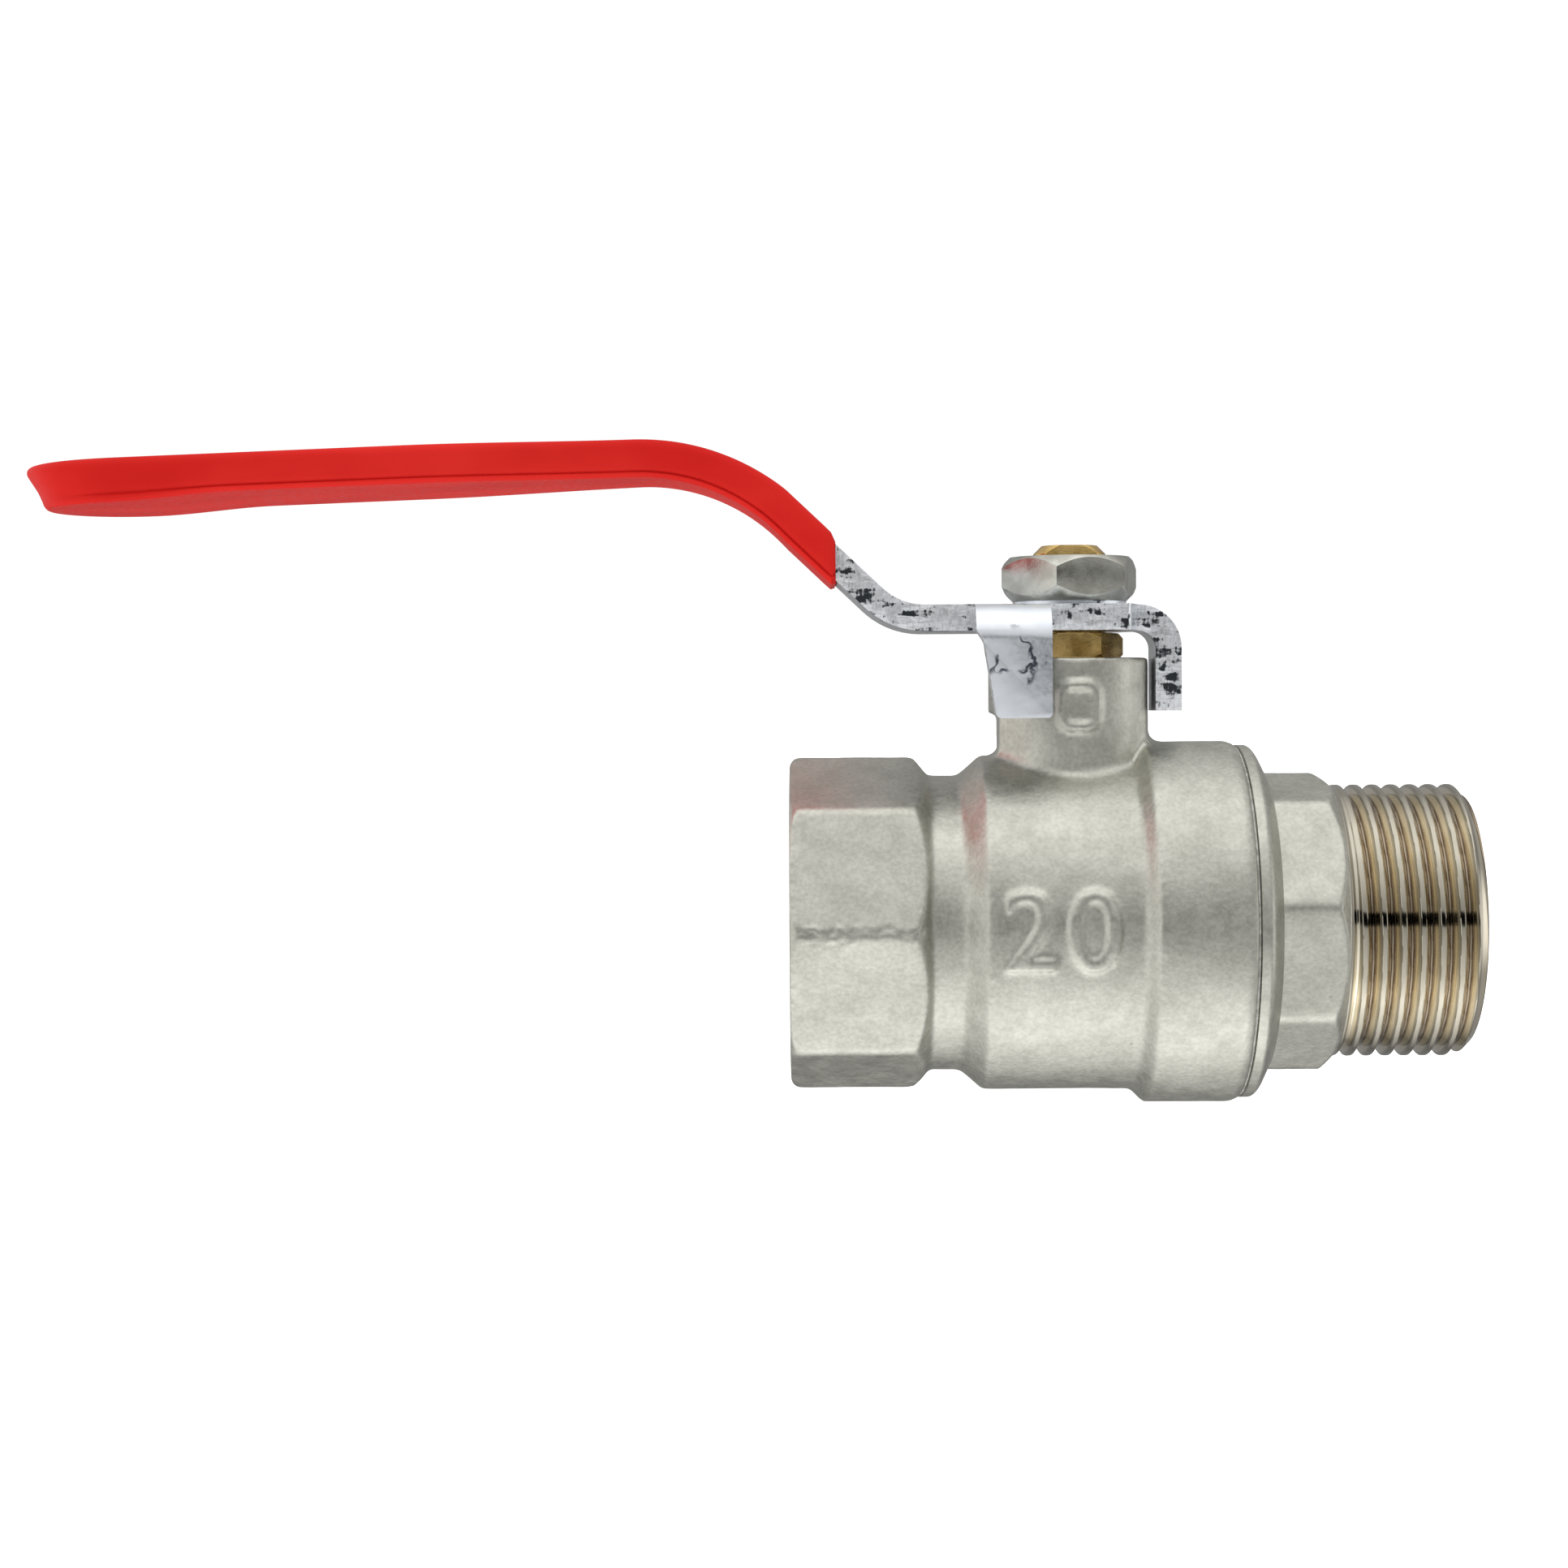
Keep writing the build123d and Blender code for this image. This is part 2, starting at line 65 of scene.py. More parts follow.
STEM_X = frame["joints"][0]["pos_m"][0] / MM

# Threads, G 3/4, with crests cut down by CREST_CUT
PITCH = 1.814
MAJOR_R = 13.22
THREAD_DEPTH = 1.162
FLANK_SLOPE = 1 / tan(radians(27.5))
CREST_CUT = 0.4
THREAD_ROUNDING = 0.1
RUN_OUT = 1.3
LINING_START, LINING_THREAD_START, LINING_END, LINING_GAP = 0.25, 0.3, 12.3, 0.06
INLET_LEAD_IN, INLET_RUN_OUT = (0.5, 1.8), (10.6, 11.8)
THREAD_SPACING, LINING_SPACING, LINING_SIDES = 0.08, 0.1, 192

# Tail piece, measured along the pipe
SPIGOT_R, SEAT_R, BORE_R = 15.3, 12.45, 9.5
SEAT_FACE = 38.65
FLANGE_START, FLANGE_SHOULDER, FLANGE_END = 43.13, 44.5, 45.75
FLANGE_R, FLANGE_FACE_R = 17.1, 14.6
FLANGE_STEP, FLANGE_STEP_LENGTH, FLANGE_ROUNDING = 0.25, 0.2, 0.9
TAIL_APOTHEM, TAIL_CORNER_R = 13.5, 14.5
TAIL_TURN = radians(-9.3)
TAIL_CORNER_ROUNDING, SHOULDER_ROUNDING, CHAMFER_ROUNDING = 0.25, 0.2, 0.15
TAIL_FLAT_END, THREAD_START = 51.0, 52.2
TAIL_START, TAIL_END = (corner.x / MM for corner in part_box("tail_piece"))
END_CHAMFER = 1.1
FLANGE_WAVES, OCTAGON_WAVES = 0.03, 0.02
FLANGE_SPACING, OCTAGON_SPACING, TAIL_SIDES = 0.12, 0.2, 256
MACHINED_MARGIN = 0.1

# Grip, about the stem axis
LOWER_BEND, UPPER_BEND, BEND_R = Vector((-17.1, 29.45)), Vector((-33.6, 45.07)), 20.0
PADDLE_DROP = 0.035
GRIP_MOUTH, GRIP_TIP = -22.75, -101.48
STEEL_HALF, SKIN = 1.25, 0.58
STRIP_HALF_WIDTH, PADDLE_HALF_WIDTH = 6.35, 10.4
FLARE_START, FLARE_END = -39.5, -63.5
TOP_ROUNDING, UNDER_ROUNDING = (1.2, 1.0), (0.7, 0.6)
CREASE_DEPTH, CREASE_HALF_HEIGHT = 0.3, 0.06
MOUTH_ROUNDING, MOUTH_WALL = 0.6, 0.2
SIDE_PLACES = (0.35, 0.7, 0.9)
FLAT_FROM, FLAT_TO = 2.5, 4.5
POCKET_GAP = 0.03
FIRST_STATION, STATION_SPACING, TIP_STEPS, ROUNDING_STEPS = 0.4, 0.6, 24, 8
DRIP_DEPTH, DRIP_START, DRIP_END = 0.55, -79.0, -91.0
DRIP_FROM_HEIGHT, DRIP_TO_HEIGHT = 0.6, 1.8
NOSE_SLANT, NOSE_SHARPNESS = 2.4, 0.6
STEEL_SHORTENED_FROM, STEEL_TIP = -90.0, -97.8

# The front lug stands out past this distance from the stem axis
FRONT_LUG_Y = 7.05

# Marks on the forging: places along the pipe and above its axis
NECK_R, MIDDLE_R = 7.45, 16.2
FRAME_X, FRAME_Z = 0.3, 21.0
FRAME_HALF_WIDTH, FRAME_HALF_HEIGHT, FRAME_CORNER = 1.6, 2.0, 1.0
FRAME_LINE_TOP, FRAME_LINE_FOOT, FRAME_RISE = 0.2, 0.64, 0.4
FRAME_FLOOR, FRAME_SKIRT, FRAME_MARGIN = 0.06, -0.1, 0.8
NUMBER_X, NUMBER_Z, NUMBER_SIZE = 25.2, -0.1, 10.6
NUMBER_HALF_DEPTH, NUMBER_RISE, NUMBER_VOXEL = 0.5, 0.42, 0.15
PATCH_ROOT, PATCH_SPACING = -0.5, 0.1
MARKED_FROM_R = 13.9
PARTING_Y, PARTING_END, PARTING_Z = -12, 12.5, 0.2
BODY_VOXEL = 0.3
BODY_TRIANGLES = 170_000
SHRUNK_FROM, SHRUNK_TO, SHRINKAGE = 42.45, 42.85, 0.08

# Camera: its place, its turn in degrees and its lens, as in the photo
CAMERA_PLACE = (2.2, -280, 21.45)
CAMERA_TURN = (90 - 1.615, 0.36, 0.55)
CAMERA_LENS, CAMERA_SENSOR = 66, 36


# Small tools

def between(value, low, high):
    """How far a value is from low to high, eased at both ends and held from 0 to 1."""
    part = min(max((value - low) / (high - low), 0), 1)
    return part * part * (3 - 2 * part)


def soft_min(a, b, width):
    """The smaller of two numbers, with the corner between them rounded over a width."""
    part = max(width - abs(a - b), 0) / width
    return min(a, b) - part * part * width / 4


def soft_max(a, b, width):
    """The larger of two numbers, with the corner between them rounded over a width."""
    return -soft_min(-a, -b, width)


def mesh_object(name, vertices, faces):
    """New object from vertices in millimetres."""
    mesh = bpy.data.meshes.new(name)
    mesh.from_pydata([Vector(v) * MM for v in vertices], [], faces)
    made = bpy.data.objects.new(name, mesh)
    bpy.context.scene.collection.objects.link(made)
    return made


def shade(piece, sharp_angle):
    """Smooth faces, with a sharp edge where two of them meet at more than an angle."""
    mesh = bmesh.new()
    mesh.from_mesh(piece.data)
    bmesh.ops.recalc_face_normals(mesh, faces=mesh.faces)
    for face in mesh.faces:
        face.smooth = True
    for edge in mesh.edges:
        edge.smooth = len(edge.link_faces) != 2 or edge.calc_face_angle(0) < radians(sharp_angle)
    mesh.to_mesh(piece.data)
    mesh.free()


def with_modifiers(piece):
    """Gives a piece the mesh that its modifiers make, and removes them."""
    graph = bpy.context.evaluated_depsgraph_get()
    piece.data = bpy.data.meshes.new_from_object(piece.evaluated_get(graph))
    piece.modifiers.clear()


def copied(node, name):
    """Copy of a CAD node's mesh with its split edges welded and its flat faces joined."""
    mesh = bmesh.new()
    mesh.from_mesh(frame["nodes"][node].data)
    bmesh.ops.remove_doubles(mesh, verts=mesh.verts, dist=0.002 * MM)
    bmesh.ops.dissolve_limit(mesh, angle_limit=radians(0.5), verts=mesh.verts, edges=mesh.edges)
    data = bpy.data.meshes.new(name)
    mesh.to_mesh(data)
    mesh.free()
    made = bpy.data.objects.new(name, data)
    bpy.context.scene.collection.objects.link(made)
    return made


def beveled(piece, width):
    """Rounds a piece's sharp edges."""
    bevel = piece.modifiers.new("bevel", "BEVEL")
    bevel.width = width * MM
    bevel.segments = 3
    bevel.limit_method = "ANGLE"
    bevel.angle_limit = radians(32)
    bevel.use_clamp_overlap = True
    with_modifiers(piece)
    shade(piece, sharp_angle=40)


def stands_for(piece, node, body, slot, *materials):
    """A finished piece rides on a body and takes the place of a CAD node, if it has one."""
    piece.data.materials.clear()
    for material in materials:
        piece.data.materials.append(material)
    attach(piece, body)
    if node:
        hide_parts(node)


# Materials: patterns are noise on the object's own millimetres

def add(tree, kind, inputs=None, **settings):
    """Adds a shader node; an input is a number, a colour or another node's output."""
    node = tree.nodes.new("ShaderNode" + kind)
    for name, value in settings.items():
        setattr(node, name, value)
    for socket, value in (inputs or {}).items():
        if isinstance(value, bpy.types.NodeSocket):
            tree.links.new(value, node.inputs[socket])
        else:
            node.inputs[socket].default_value = value
    return node


def socket_name(word):
    """Name of a shader's socket from a Python word."""
    return word.replace("_", " ").title().replace("Ior", "IOR")


def principled(name, **constants):
    """New material whose constants are set on the shader's own sockets."""
    made = bpy.data.materials.new(name)
    made.use_nodes = True
    shader = made.node_tree.nodes["Principled BSDF"]
    for socket, value in constants.items():
        shader.inputs[socket_name(socket)].default_value = value
    return made, made.node_tree, shader


def position(tree, scale=(1, 1, 1)):
    """The object's own coordinates in millimetres, times a scale along each axis."""
    place = add(tree, "TexCoord").outputs["Object"]
    return add(tree, "Mapping", {"Vector": place, "Scale": [1 / MM * s for s in scale]}).outputs[0]


def grain(tree, per_mm, detail=2.0, stretch=(1, 1, 1), seed=0.0):
    """Noise from 0 to 1 with a number of cells to the millimetre."""
    inputs = {"Vector": position(tree, stretch), "Scale": per_mm, "Detail": detail, "W": seed}
    return add(tree, "TexNoise", inputs, noise_dimensions="4D").outputs["Fac"]


def ramp(tree, factor, stops, interpolation="EASE"):
    """Colour ramp; a stop's colour may be one grey value."""
    node = add(tree, "ValToRGB", {0: factor})
    node.color_ramp.interpolation = interpolation
    elements = node.color_ramp.elements
    while len(elements) < len(stops):
        elements.new(0.5)
    for element, (place, colour) in zip(elements, stops):
        element.position = place
        element.color = (*colour, 1) if isinstance(colour, tuple) else (colour, colour, colour, 1)
    return node.outputs[0]


def math(tree, operation, first, second=0.0):
    """One step of arithmetic on numbers or outputs."""
    return add(tree, "Math", {0: first, 1: second}, operation=operation).outputs[0]


def spread(tree, value, low, high, to_low=0.0, to_high=1.0):
    """Value mapped from one range to another and held within it."""
    inputs = {"Value": value, "From Min": low, "From Max": high, "To Min": to_low, "To Max": to_high}
    return add(tree, "MapRange", inputs, interpolation_type="SMOOTHSTEP").outputs[0]


def blend(tree, factor, first, second, mode="MIX"):
    """Two colours mixed by a factor."""
    inputs = {0: factor, 6: first, 7: second}
    return add(tree, "Mix", inputs, data_type="RGBA", blend_type=mode).outputs[2]


def bump(tree, height, depth, strength=1.0, under=None):
    """Bump of a depth in millimetres; under is another bump's normal."""
    inputs = {"Height": height, "Distance": depth * MM, "Strength": strength}
    if under:
        inputs["Normal"] = under
    return add(tree, "Bump", inputs).outputs[0]


def connect(tree, shader, **outputs):
    """Links outputs to the shader's sockets of the same names."""
    for socket, output in outputs.items():
        tree.links.new(output, shader.inputs[socket_name(socket)])


def forged_nickel():
    """Grit-blasted forging under satin nickel: cloudy, finely grained, with a few dark pits."""
    made, tree, shader = principled("forged_nickel", metallic=1.0)
    clouds = grain(tree, 0.28, 4.0)
    patches = grain(tree, 0.75, 3.0, seed=3.0)
    fine = grain(tree, 2.6, 3.0, seed=7.0)
    colour = ramp(tree, clouds, [(0.32, (0.497, 0.493, 0.437)), (0.68, (0.568, 0.564, 0.504))])
    colour = blend(tree, 0.8, colour, ramp(tree, fine, [(0.3, 0.80), (0.7, 1.0)]), "MULTIPLY")
    pits = ramp(tree, grain(tree, 1.1, 2.0, seed=11.0), [(0.16, 0.35), (0.25, 1.0)])
    colour = blend(tree, 1.0, colour, pits, "MULTIPLY")
    roughness = spread(tree, patches, 0.3, 0.7, 0.34, 0.44)
    roughness = math(tree, "ADD", roughness, math(tree, "MULTIPLY", fine, 0.08))
    relief = bump(tree, patches, 0.10, 0.35)
    relief = bump(tree, fine, 0.05, 0.45, relief)
    relief = bump(tree, pits, 0.08, 0.6, relief)
    connect(tree, shader, base_color=colour, roughness=roughness, normal=relief)
    return made


def machined_nickel():
    """Turned nickel: bright crests, brown roots and fine lines round the pipe axis."""
    made, tree, shader = principled("machined_nickel", metallic=1.0)
    place = add(tree, "SeparateXYZ", {0: position(tree)}).outputs
    squares = [math(tree, "POWER", place[axis], 2.0) for axis in (1, 2)]
    radius = math(tree, "SQRT", math(tree, "ADD", *squares))
    inputs = {"W": place[0], "Scale": 7.0, "Detail": 2.0}
    lines = add(tree, "TexNoise", inputs, noise_dimensions="1D").outputs["Fac"]
    clouds = grain(tree, 0.35, 3.0)
    in_bore = math(tree, "SUBTRACT", 1.0, spread(tree, radius, 11.5, 11.9))
    height = math(tree, "MAXIMUM", in_bore, spread(tree, radius, 12.05, 13.1))
    stops = [
        (0.0, (0.28, 0.23, 0.17)), (0.16, (0.76, 0.68, 0.53)),
        (0.75, (0.74, 0.68, 0.55)), (0.97, (0.43, 0.40, 0.33)),
    ]
    colour = ramp(tree, height, stops)
    colour = blend(tree, 0.5, colour, ramp(tree, clouds, [(0.3, 0.78), (0.7, 1.0)]), "MULTIPLY")
    roughness = spread(tree, clouds, 0.3, 0.7, 0.06, 0.10)
    relief = bump(tree, lines, 0.01, 0.25)
    connect(tree, shader, base_color=colour, roughness=roughness, normal=relief)
    return made


def plated_steel():
    """Bright zinc on sheet steel, slightly wavy, with thin dark lines of painted reflection: the dark surroundings
    mirrored in the plating.
    """
    made, tree, shader = principled("plated_steel", metallic=0.62)
    waves = grain(tree, 0.35, 2.0, seed=2.0)
    fine = grain(tree, 3.0, 2.0, seed=5.0)
    colour = ramp(tree, waves, [(0.3, (0.73, 0.77, 0.83)), (0.7, (0.83, 0.86, 0.90))])
    # Thin navy-black lines in scattered patches: painted reflection of the dark surroundings in the plating
    lines = math(tree, "ABSOLUTE", math(tree, "SUBTRACT", grain(tree, 0.22, 4.0, seed=9.0), 0.5))
    marks = spread(tree, lines, 0.006, 0.026)
    sparse = spread(tree, grain(tree, 0.3, 1.0, seed=13.0), 0.53, 0.60)
    outside_painted_reflections = math(tree, "MAXIMUM", marks, math(tree, "SUBTRACT", 1.0, sparse))
    colour = blend(tree, outside_painted_reflections, (0.10, 0.11, 0.14, 1), colour)
    roughness = spread(tree, fine, 0.3, 0.7, 0.16, 0.26)
    relief = bump(tree, waves, 0.12, 0.4)
    connect(tree, shader, base_color=colour, roughness=roughness, normal=relief)
    return made


def sheared_steel():
    """Cut edge of the sheet: bright plating over torn metal, with black patches of painted reflection, the dark
    surroundings mirrored in the plating.
    """
    made, tree, shader = principled("sheared_steel", metallic=0.62)
    torn = grain(tree, 0.85, 4.0, (0.5, 1, 1.3), seed=4.0)
    strokes = grain(tree, 2.2, 2.0, (1.6, 1, 0.5), seed=6.0)
    # Black patches over the torn noise: painted reflection of dark surroundings in the plated edge
    dark_reflection_patches = spread(tree, math(tree, "ADD", torn, math(tree, "MULTIPLY", strokes, 0.35)), 0.69, 0.78)
    plated = ramp(tree, strokes, [(0.3, (0.62, 0.64, 0.66)), (0.6, (0.88, 0.90, 0.93))])
    colour = blend(tree, dark_reflection_patches, plated, (0.025, 0.03, 0.035, 1))
    roughness = spread(tree, torn, 0.3, 0.7, 0.22, 0.42)
    relief = bump(tree, torn, 0.14, 0.7)
    relief = bump(tree, strokes, 0.05, 0.5, relief)
    connect(tree, shader, base_color=colour, roughness=roughness, normal=relief)
    return made


def nut_plate():
    """Satin nickel on the turned nut, a little stained."""
    made, tree, shader = principled("nut_plate", metallic=1.0)
    stains = grain(tree, 0.5, 4.0, seed=1.0)
    fine = grain(tree, 4.0, 2.0)
    colour = ramp(tree, stains, [(0.3, (0.36, 0.35, 0.31)), (0.65, (0.52, 0.52, 0.47))])
    roughness = spread(tree, stains, 0.3, 0.7, 0.18, 0.28)
    relief = bump(tree, fine, 0.02, 0.4)
    connect(tree, shader, base_color=colour, roughness=roughness, normal=relief)
    return made


def brass():
    """Bare turned brass with darker tarnish."""
    made, tree, shader = principled("bare_brass", metallic=1.0)
    tarnish = grain(tree, 0.6, 4.0, seed=8.0)
    fine = grain(tree, 2.0, 3.0, (1, 1, 6))
    colour = ramp(tree, tarnish, [(0.3, (0.38, 0.24, 0.07)), (0.65, (0.72, 0.50, 0.19))])
    roughness = spread(tree, fine, 0.3, 0.7, 0.24, 0.40)
    relief = bump(tree, fine, 0.02, 0.5)
    connect(tree, shader, base_color=colour, roughness=roughness, normal=relief)
    return made


def red_vinyl():
    """Glossy dipped vinyl with soft unevenness and a few specks."""
    made, tree, shader = principled("red_vinyl", specular_ior_level=0.02)
    clouds = grain(tree, 0.10, 3.0, (0.5, 1, 1))
    fine = grain(tree, 1.5, 2.0, seed=2.0)
    colour = ramp(tree, clouds, [(0.3, (0.66, 0.018, 0.015)), (0.7, (0.78, 0.030, 0.024))])
    roughness = spread(tree, fine, 0.3, 0.7, 0.30, 0.42)
    relief = bump(tree, clouds, 0.25, 0.5)
    relief = bump(tree, fine, 0.03, 0.25, relief)
    connect(tree, shader, base_color=colour, roughness=roughness, normal=relief)
    return made


def even_material(name, dark, light, per_mm, roughness, metallic=0.0):
    """Plain material with a slight mottle in its colour, gloss and relief."""
    made, tree, shader = principled(name, metallic=metallic)
    mottle = grain(tree, per_mm, 3.0)
    colour = ramp(tree, mottle, [(0.3, dark), (0.7, light)])
    connect(
        tree, shader, base_color=colour, normal=bump(tree, mottle, 0.02, 0.4),
        roughness=spread(tree, mottle, 0.3, 0.7, roughness * 0.85, roughness * 1.15),
    )
    return made


# Threads and the tail piece

def thread_cut(x, angle):
    """Depth of a right-hand thread below its crests at a place round the pipe axis."""
    phase = (x / PITCH - angle / (2 * pi)) % 1
    from_crest = min(phase, 1 - phase) * PITCH
    depth = soft_max(from_crest * FLANK_SLOPE - CREST_CUT, 0, THREAD_ROUNDING)
    return soft_min(depth, THREAD_DEPTH, THREAD_ROUNDING)


def octagon_radius(angle, apothem, corner, turn):
    """Radius of an octagon with softened corners."""
    eighth = pi / 4
    from_flat = (angle - turn) % eighth - eighth / 2
    return soft_min(apothem / cos(from_flat), corner, TAIL_CORNER_ROUNDING)


def unevenness(x, angle, radius, size):
    """Slight waviness of forged metal."""
    place = Vector((x, radius * cos(angle), radius * sin(angle)))
    return size * noise.noise(place * 0.35) + 0.4 * size * noise.noise(place * 1.1)


def flange_radius(x, angle):
    """Flange: a small step at the joint, the rim and the slope down to its face."""
    edge = FLANGE_R if x > FLANGE_START + FLANGE_STEP_LENGTH else FLANGE_R - FLANGE_STEP
    fall = (x - FLANGE_SHOULDER) / (FLANGE_END - FLANGE_SHOULDER)
    slope = FLANGE_R - (FLANGE_R - FLANGE_FACE_R) * fall
    return soft_min(edge, slope, FLANGE_ROUNDING) + unevenness(x, angle, FLANGE_R, FLANGE_WAVES)


def hexed_radius(x, angle):
    """Octagon of the tail piece, turned down to the thread at its outer end."""
    flat = octagon_radius(angle, TAIL_APOTHEM, TAIL_CORNER_R, TAIL_TURN)
    fall = (x - TAIL_FLAT_END) / (THREAD_START - TAIL_FLAT_END)
    cone = TAIL_CORNER_R + (MAJOR_R - TAIL_CORNER_R) * fall
    return soft_min(flat, cone, SHOULDER_ROUNDING) + unevenness(x, angle, flat, OCTAGON_WAVES)


def threaded_radius(x, angle):
    """Male thread, fading out at the octagon and chamfered at the end."""
    run_out = between(x, THREAD_START, THREAD_START + RUN_OUT)
    chamfer = MAJOR_R - max(x - (TAIL_END - END_CHAMFER), 0)
    return soft_min(MAJOR_R - thread_cut(x, angle) * run_out, chamfer, CHAMFER_ROUNDING)


def steps(start, end, spacing):
    """Evenly spaced places from start to end, both included."""
    count = max(round(abs(end - start) / spacing), 1)
    return [start + (end - start) * i / count for i in range(count + 1)]


def turned_tube(name, stations, sides):
    """Tube round the pipe axis, closed on itself, through stations of (x, radius function)."""
    vertices = []
    for x, radius in stations:
        for side in range(sides):
            angle = 2 * pi * side / sides
            r = radius(x, angle) if callable(radius) else radius
            vertices.append((x, r * cos(angle), r * sin(angle)))
    faces = []
    for ring in range(len(stations)):
        after = (ring + 1) % len(stations)
        for side in range(sides):
            beside = (side + 1) % sides
            faces.append((ring * sides + side, ring * sides + beside,
                          after * sides + beside, after * sides + side))
    return mesh_object(name, vertices, faces)


def tail_piece():
    """Male end: spigot, flange, octagon and real thread in one tube."""
    stations = [(TAIL_START, SEAT_R), (TAIL_START, SPIGOT_R), (FLANGE_START, SPIGOT_R)]
    stations += [(x, flange_radius) for x in steps(FLANGE_START, FLANGE_END, FLANGE_SPACING)]
    stations += [(x, hexed_radius) for x in steps(FLANGE_END, THREAD_START, OCTAGON_SPACING)]
    thread_places = steps(THREAD_START + THREAD_SPACING, TAIL_END, THREAD_SPACING)
    stations += [(x, threaded_radius) for x in thread_places]
    stations += [(TAIL_END, BORE_R + END_CHAMFER), (TAIL_END - END_CHAMFER, BORE_R)]
    stations += [(SEAT_FACE, BORE_R), (SEAT_FACE, SEAT_R)]
    return turned_tube("tail_piece_threaded", stations, TAIL_SIDES)


def is_machined(face):
    """True for a face of the tail piece on the thread or in the bore."""
    centre = face.center / MM
    on_thread = centre.x > THREAD_START - MACHINED_MARGIN
    return on_thread or hypot(centre.y, centre.z) < SEAT_R + MACHINED_MARGIN


def inlet_thread():
    """Female thread, a lining of the bore with its crests turned inwards."""
    outer = MAJOR_R + LINING_GAP

    def crest_radius(x, angle):
        """Inner radius of the lining, with its thread fading out at both ends."""
        ridge = THREAD_DEPTH - thread_cut(x, angle)
        return MAJOR_R - ridge * between(x, *INLET_LEAD_IN) * (1 - between(x, *INLET_RUN_OUT))

    stations = [(LINING_START, outer)]
    stations += [(x, crest_radius) for x in steps(LINING_THREAD_START, LINING_END, LINING_SPACING)]
    stations += [(LINING_END, outer)]
    return turned_tube("inlet_thread", stations, LINING_SIDES)


# The forged body

def wrapped(name, height_at, half_width, half_height, place):
    """Raised patch whose height over a surface is height_at(u, v); place(u, v, height) sets it there."""
    columns = steps(-half_width, half_width, PATCH_SPACING)
    rows = steps(-half_height, half_height, PATCH_SPACING)
    top = [place(u, v, height_at(u, v)) for v in rows for u in columns]
    bottom = [place(u, v, PATCH_ROOT) for v in rows for u in columns]
    wide, count = len(columns), len(top)
    faces = []
    for row in range(len(rows) - 1):
        for column in range(wide - 1):
            a = row * wide + column
            faces.append((a, a + 1, a + 1 + wide, a + wide))
            faces.append(tuple(i + count for i in (a + wide, a + 1 + wide, a + 1, a)))
    edge = list(range(wide))
    edge += [row * wide + wide - 1 for row in range(1, len(rows))]
    edge += [count - 1 - i for i in range(1, wide)]
    edge += [row * wide for row in range(len(rows) - 2, 0, -1)]
    for a, b in zip(edge, edge[1:] + edge[:1]):
        faces.append((b, a, a + count, b + count))
    return mesh_object(name, top + bottom, faces)


def blank_frame():
    """Plain rounded frame raised on the front of the stem neck."""

    def height_at(u, v):
        """Height of the frame's line by the distance from its rounded outline."""
        past_u = max(abs(u) - FRAME_HALF_WIDTH + FRAME_CORNER, 0)
        past_v = max(abs(v) - FRAME_HALF_HEIGHT + FRAME_CORNER, 0)
        from_middle = hypot(past_u, past_v)
        from_edge = abs(from_middle - FRAME_CORNER)
        if not from_middle:
            from_edge = min(FRAME_HALF_WIDTH - abs(u), FRAME_HALF_HEIGHT - abs(v))
        lowest = FRAME_FLOOR if from_middle < FRAME_CORNER else FRAME_SKIRT
        line = FRAME_RISE * (1 - between(from_edge, FRAME_LINE_TOP, FRAME_LINE_FOOT))
        return max(line, lowest)

    def place(u, v, height):
        """Point on the neck."""
        angle = (FRAME_X + u) / NECK_R
        r = NECK_R + height
        return (STEM_X + r * sin(angle), -r * cos(angle), FRAME_Z + v)

    half_width, half_height = FRAME_HALF_WIDTH + FRAME_MARGIN, FRAME_HALF_HEIGHT + FRAME_MARGIN
    return wrapped("blank_frame", height_at, half_width, half_height, place)


def size_number():
    """Raised 20, the nominal bore, on the front of the ball housing."""
    text = bpy.data.curves.new("size_number", "FONT")
    text.body = "20"
    text.size = NUMBER_SIZE
    text.align_x = "CENTER"
    text.align_y = "CENTER"
    text.extrude = NUMBER_HALF_DEPTH
    text.offset = 0.02
    text.space_character = 1.1
    flat = bpy.data.objects.new("size_number", text)
    bpy.context.scene.collection.objects.link(flat)
    graph = bpy.context.evaluated_depsgraph_get()
    mesh = bpy.data.meshes.new_from_object(flat.evaluated_get(graph))
    bpy.data.objects.remove(flat)
    made = bpy.data.objects.new("size_number", mesh)
    bpy.context.scene.collection.objects.link(made)
    remesh = made.modifiers.new("remesh", "REMESH")
    remesh.mode = "VOXEL"
    remesh.voxel_size = NUMBER_VOXEL
    with_modifiers(made)
    for vertex in made.data.vertices:
        u, v, height = vertex.co
        angle = (NUMBER_Z + v) / MIDDLE_R
        r = MIDDLE_R + height + NUMBER_RISE - NUMBER_HALF_DEPTH
        vertex.co = Vector((NUMBER_X + u, -r * cos(angle), r * sin(angle))) * MM
    return made


def noise_along(x, per_mm, seed):
    """Noise that changes only along the pipe."""
    return noise.noise(Vector((x * per_mm, seed, 0)))


def parting_scar(place):
    """Height of the wandering parting line across the front of the inlet octagon, torn near the mouth."""
    x = place.x
    wander = 0.9 * noise_along(x, 0.5, 3.0) + 0.25 * noise_along(x, 2.5, 9.0)
    from_line = abs(place.z - PARTING_Z - wander)
    depth = 0.10 + 0.08 * noise_along(x, 0.8, 17.0)
    torn = between(x, 1.0, 2.0) * (1 - between(x, 5.5, 7))
    torn *= 1 - between(abs(place.z), 0.4, 1.5)
    return 0.25 * torn * noise.noise(place * 1.6) - depth * (1 - between(from_line, 0.05, 0.5))


def forging_marks(place):
    """Height of the forging's own marks at a place on its outside: waviness and the parting line."""
    height = 0.035 * noise.noise(place * 0.35) + 0.012 * noise.noise(place * 1.2)
    if place.y < PARTING_Y and place.x < PARTING_END:
        height += parting_scar(place)
    return height


